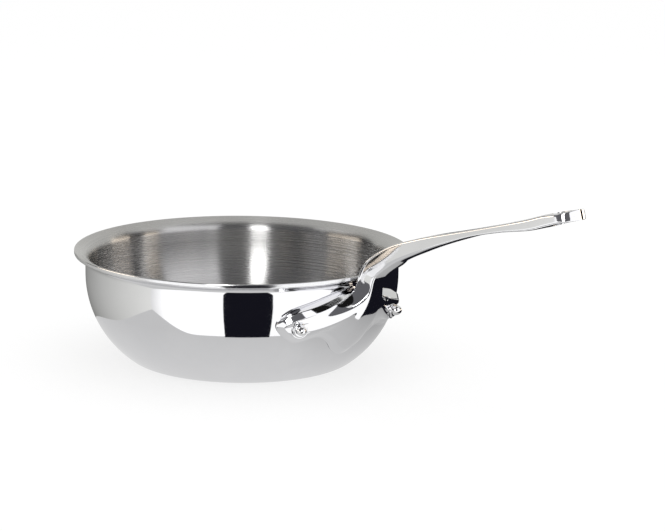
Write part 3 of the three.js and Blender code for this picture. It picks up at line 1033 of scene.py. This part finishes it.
# Cards on the floor, which the outside of the bowl shows: degrees from the camera, to the right
floorCards = [
    {
        "name": "darkFlag", "span": (-13.5, 22), "near": 0.13, "curls": (0, 0),
        "tone": "black", "fade": (1, 1), "softFrom": 1,
    },
    {
        "name": "leftCard", "span": (-69, -13.5), "near": 0.132, "curls": (0.088, 0),
        "tone": "white", "fade": (1, 1), "softFrom": 0.68,
    },
    {
        "name": "rightCard", "span": (22, 70), "near": 0.132, "curls": (0, 0),
        "tone": "white", "fade": (1, 1), "softFrom": 1,
    },
    {
        "name": "sideFloor", "span": (-175, -69), "near": 0.135, "curls": (0, 0.085),
        "tone": "pale", "fade": (0.28, 1.25), "softFrom": 1,
    },
    {
        "name": "backFlag", "span": (70, 175), "near": 0.135, "curls": (0, 0),
        "tone": "black", "fade": (1, 1), "softFrom": 1,
    },
]

# Screens round the pan, which the brushed inside shows as upright bands: start, end, top and tone
screens = [
    ("leftWarm", -107, -73, 0.32, "warm"),
    ("leftDark", -73, -20.5, 1.5, "dark"),
    ("stripLight", -20.5, -7, 0.8, "strip"),
    ("middleDark", -7, 20.5, 1.5, "dark"),
    ("rightGrey", 20.5, 71.5, 1.5, "grey"),
    ("rightWarm", 71.5, 85, 0.36, "warm"),
    ("farWarm", 101, 124, 0.36, "warm"),
]

# Behind the screens: black above the side ones, pale at the back
surround = [
    ("leftBlack", -124, -57, 0.95, "black"),
    ("rightBlack", 71, 124, 0.95, "black"),
    ("paleBack", 124, 236, 1.5, "pale"),
]


def glow(name, tone):
    # The tone times the strength that each point of the sheet carries
    finish = bpy.data.materials.new(name)
    finish.use_nodes = True
    tree = finish.node_tree
    tree.nodes.clear()
    light = addNode(tree, "ShaderNodeEmission")
    light.inputs["Color"].default_value = (*tone, 1)
    strength = addNode(tree, "ShaderNodeAttribute", attribute_name="strength")
    tree.links.new(strength.outputs["Fac"], light.inputs["Strength"])
    out = addNode(tree, "ShaderNodeOutputMaterial")
    tree.links.new(light.outputs["Emission"], out.inputs["Surface"])
    return finish


def aroundPan(angle, radius, height):
    turn = studio["cameraTurn"] + angle
    return (radius * math.cos(turn), radius * math.sin(turn), height)


def addSheet(name, rows, tone):
    # Seen by the metal alone: it lights nothing else and casts no shadow
    count = len(rows[0])
    faces = [
        (row * count + i, row * count + i + 1, (row + 1) * count + i + 1, (row + 1) * count + i)
        for row in range(len(rows) - 1) for i in range(count - 1)
    ]
    mesh = bpy.data.meshes.new(name)
    mesh.from_pydata([point for row in rows for point, strength in row], [], faces)
    shades = mesh.attributes.new("strength", "FLOAT", "POINT")
    shades.data.foreach_set("value", [strength for row in rows for point, strength in row])
    mesh.materials.append(glow(name, tone))
    piece = linkObject(name, mesh)
    piece.visible_camera = False
    piece.visible_diffuse = False
    piece.visible_shadow = False


def between(pair, share):
    return pair[0] + (pair[1] - pair[0]) * share


def addCard(card):
    # Its sides run the way the wall's reflections do, so the wall shows them upright
    rowCount, columnCount = studio["cardRows"], studio["cardColumns"]
    rows = []
    for k in range(rowCount + 1):
        row = []
        for i in range(columnCount + 1):
            angle = math.radians(between(card["span"], i / columnCount))
            near = card["near"]
            for curl, steps in zip(card["curls"], (i, columnCount - i)):
                near += curl * max(1 - steps / studio["curlColumns"], 0) ** 3
            radius = near * (studio["drumRadius"] / near) ** (k / rowCount)
            lean = math.asin(min(studio["wallRadius"] * math.sin(angle / 2) / radius, 1))
            place = aroundPan(angle - lean, radius, studio["cardHeight"])
            soft = min(between((card["softFrom"], 1), i / studio["softColumns"]), 1)
            row.append((place, between(card["fade"], i / columnCount) * soft))
        rows.append(row)
    addSheet(card["name"], rows, tones[card["tone"]])


def addScreen(name, start, end, radius, height, tone):
    count = math.ceil((end - start) / studio["screenStep"])
    angles = [math.radians(between((start, end), i / count)) for i in range(count + 1)]
    rows = [[(aroundPan(angle, radius, level), 1) for angle in angles] for level in (0, height)]
    addSheet(name, rows, tone)


def addRound(name, start, end, height, tone, shade):
    # A level ring whose strength comes from the distance out, forward and to the right
    turns = [2 * math.pi * i / studio["roundColumns"] for i in range(studio["roundColumns"] + 1)]
    rows = []
    for k in range(studio["roundRows"] + 1):
        radius = between((start, end), k / studio["roundRows"])
        rows.append([
            (aroundPan(turn, radius, height), shade(radius, radius * math.cos(turn), radius * math.sin(turn)))
            for turn in turns
        ])
    addSheet(name, rows, tone)


def shareBetween(value, low, high):
    return min(max((value - low) / (high - low), 0), 1)


# Painted shadow: the near floor ring greyer farther out from the pan and darker towards the right
def paintedShadowAt(radius, forward, sideways):
    out = shareBetween(radius, paintedFloorShadow["paleTo"], paintedFloorShadow["greyFrom"])
    right = shareBetween(sideways, paintedFloorShadow["rightFrom"], paintedFloorShadow["rightTo"])
    return between((paintedFloorShadow["pale"], paintedFloorShadow["grey"]), out) * between((1, paintedFloorShadow["rightShadowShare"]), right)


def ceilingShade(radius, forward, sideways):
    return ceiling["pale"] if forward < ceiling["paleTo"] else ceiling["dark"]


for card in floorCards:
    addCard(card)
outside = studio["drumRadius"] + studio["surroundGap"]
for sheets, radius in ((screens, studio["drumRadius"]), (surround, outside)):
    for name, start, end, top, tone in sheets:
        addScreen(name, start, end, radius, top, tones[tone])
addRound("ceiling", ceiling["start"], outside, studio["drumHeight"], ceiling["tone"], ceilingShade)
# Ring of painted shadow on the floor round the pan, which only the metal shows
addRound("paintedFloorShadow", paintedFloorShadow["start"], paintedFloorShadow["end"], paintedFloorShadow["height"], paintedFloorShadow["tone"], paintedShadowAt)

floorMesh = bpy.data.meshes.new("floor")
half = studio["floorHalf"]
corners = [(-half, -half, 0), (half, -half, 0), (half, half, 0), (-half, half, 0)]
floorMesh.from_pydata(corners, [], [(0, 1, 2, 3)])
floorFinish = bpy.data.materials.new("paleFloor")
floorFinish.use_nodes = True
tree = floorFinish.node_tree
floorShader = tree.nodes["Principled BSDF"]
floorShader.inputs["Base Color"].default_value = (*[studio["floorTone"]] * 3, 1)
setInputs(floorShader, Roughness=1, Specular_IOR_Level=0)
# Partly white of its own where it is seen, so that the pan's shadow on it stays light
path = addNode(tree, "ShaderNodeLightPath")
seen = mathNode(tree, "MAXIMUM", path.outputs["Is Camera Ray"], path.outputs["Is Glossy Ray"])
seen = mathNode(tree, "MAXIMUM", seen, path.outputs["Is Transmission Ray"])
white = addNode(tree, "ShaderNodeEmission")
mixed = addNode(tree, "ShaderNodeMixShader")
tree.links.new(mathNode(tree, "MULTIPLY", seen, studio["floorGlow"]), mixed.inputs[0])
tree.links.new(floorShader.outputs["BSDF"], mixed.inputs[1])
tree.links.new(white.outputs["Emission"], mixed.inputs[2])
tree.links.new(mixed.outputs["Shader"], tree.nodes["Material Output"].inputs["Surface"])
floorMesh.materials.append(floorFinish)
floor = linkObject("floor", floorMesh)

world = bpy.data.worlds.new("paleStudio")
scene.world = world
world.use_nodes = True
tree = world.node_tree
tree.nodes.clear()
backdrop = addNode(tree, "ShaderNodeBackground")
backdrop.inputs["Color"].default_value = (1, 1, 1, 1)
out = addNode(tree, "ShaderNodeOutputWorld")
tree.links.new(backdrop.outputs["Background"], out.inputs["Surface"])

keyLamp = bpy.data.lights.new("key", "AREA")
keyLamp.shape = "RECTANGLE"
keyLamp.size = keyLamp.size_y = studio["keySize"]
keyLamp.energy = studio["keyPower"]
key = linkObject("key", keyLamp)
key.location = studio["keyPlace"]
print("studio lit:", len(floorCards), "cards,", len(screens), "screens")


# Camera, at the photograph's viewing angle

lens = {
    "azimuth": math.radians(45.1877),
    "elevation": math.radians(12.259),
    "roll": math.radians(0.9156),
    "place": (1.06054, -0.97202, 0.37321),
    "focalLength": 123.884,
    "sensorWidth": 36,
}
cameraData = bpy.data.cameras.new("camera")
cameraData.sensor_width = lens["sensorWidth"]
cameraData.lens = lens["focalLength"]
camera = linkObject("camera", cameraData)
azimuth, elevation = lens["azimuth"], lens["elevation"]
level = math.cos(elevation)
back = Vector((math.sin(azimuth) * level, -math.cos(azimuth) * level, math.sin(elevation)))
facing = (-back).to_track_quat("-Z", "Y").to_matrix().to_4x4()
camera.matrix_world = Matrix.Translation(lens["place"]) @ facing @ Matrix.Rotation(lens["roll"], 4, "Z")
scene.camera = camera
scene.view_settings.view_transform = "Standard"
